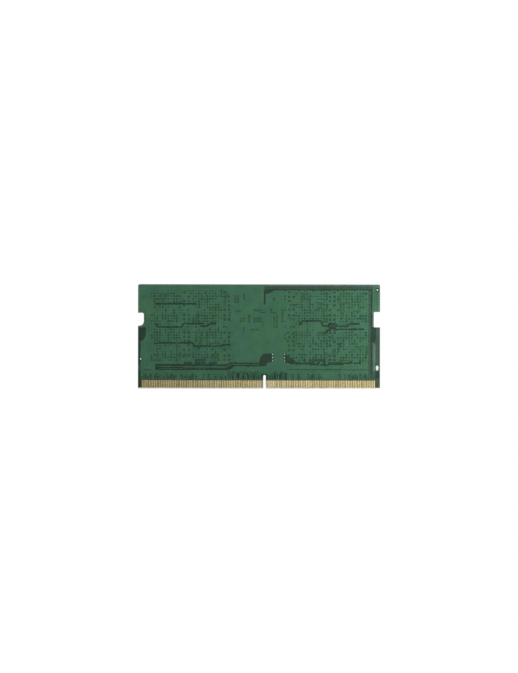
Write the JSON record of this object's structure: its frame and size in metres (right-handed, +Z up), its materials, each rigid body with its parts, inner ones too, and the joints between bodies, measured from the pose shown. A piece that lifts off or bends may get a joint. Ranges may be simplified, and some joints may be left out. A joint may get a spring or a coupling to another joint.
{
  "type": "ram module",
  "caption": "Small-outline memory module: an upright circuit board with gold edge contacts, a keyed lower edge, two side notches and memory packages on one face.",
  "frame": {"origin": "middle of the card edge, on the board's mid-plane", "axes": "+X along the board's width, +Y out of the component face, +Z up from the card edge; the bare face looks along -Y"},
  "size_m": [0.0696, 0.0023, 0.03],
  "materials": {
    "laminate": "sawn glass-epoxy laminate",
    "copper_layer": "copper seen through green solder mask",
    "solder_mask": "satin green solder mask",
    "gold_contacts": "worn hard gold plating",
    "package_substrate": "dark green package laminate",
    "silicon": "polished silicon",
    "mould_compound": "fine matte moulding compound",
    "ferrite": "pressed dark grey ferrite",
    "capacitor_ceramic": "tan fired ceramic",
    "resistor_body": "black glazed resistor",
    "tin_solder": "bright tin solder",
    "label": "blank satin label stock"
  },
  "bodies": {
    "root": {"pcb_laminate": "laminate", "back_copper_layer": "copper_layer", "front_copper_layer": "copper_layer", "back_solder_mask": "solder_mask", "front_solder_mask": "solder_mask", "back_contacts_left": "gold_contacts", "back_contacts_right": "gold_contacts", "front_contacts_left": "gold_contacts", "front_contacts_right": "gold_contacts", "dram_1_substrate": "package_substrate", "dram_1_die": "silicon", "dram_1_mould": "mould_compound", "dram_2_substrate": "package_substrate", "dram_2_die": "silicon", "dram_2_mould": "mould_compound", "dram_3_substrate": "package_substrate", "dram_3_die": "silicon", "dram_3_mould": "mould_compound", "dram_4_substrate": "package_substrate", "dram_4_die": "silicon", "dram_4_mould": "mould_compound", "dram_5_substrate": "package_substrate", "dram_5_die": "silicon", "dram_5_mould": "mould_compound", "dram_6_substrate": "package_substrate", "dram_6_die": "silicon", "dram_6_mould": "mould_compound", "dram_7_substrate": "package_substrate", "dram_7_die": "silicon", "dram_7_mould": "mould_compound", "dram_8_substrate": "package_substrate", "dram_8_die": "silicon", "dram_8_mould": "mould_compound", "pmic_package": "mould_compound", "spd_hub_package": "mould_compound", "inductor_1": "ferrite", "inductor_2": "ferrite", "inductor_3": "ferrite", "ferrite_bead": "ferrite", "bulk_capacitor_1": "capacitor_ceramic", "bulk_capacitor_2": "capacitor_ceramic", "bulk_capacitor_3": "capacitor_ceramic", "bulk_capacitor_4": "capacitor_ceramic", "bulk_capacitor_5": "capacitor_ceramic", "bulk_capacitor_6": "capacitor_ceramic", "bulk_capacitor_7": "capacitor_ceramic", "bulk_capacitor_8": "capacitor_ceramic", "decoupling_capacitor_1": "capacitor_ceramic", "decoupling_capacitor_2": "capacitor_ceramic", "decoupling_capacitor_3": "capacitor_ceramic", "decoupling_capacitor_4": "capacitor_ceramic", "decoupling_capacitor_5": "capacitor_ceramic", "decoupling_capacitor_6": "capacitor_ceramic", "decoupling_capacitor_7": "capacitor_ceramic", "decoupling_capacitor_8": "capacitor_ceramic", "resistor_array_1": "resistor_body", "resistor_array_2": "resistor_body", "resistor_array_3": "resistor_body", "resistor_array_4": "resistor_body", "identification_label": "label"}
  },
  "joints": []
}
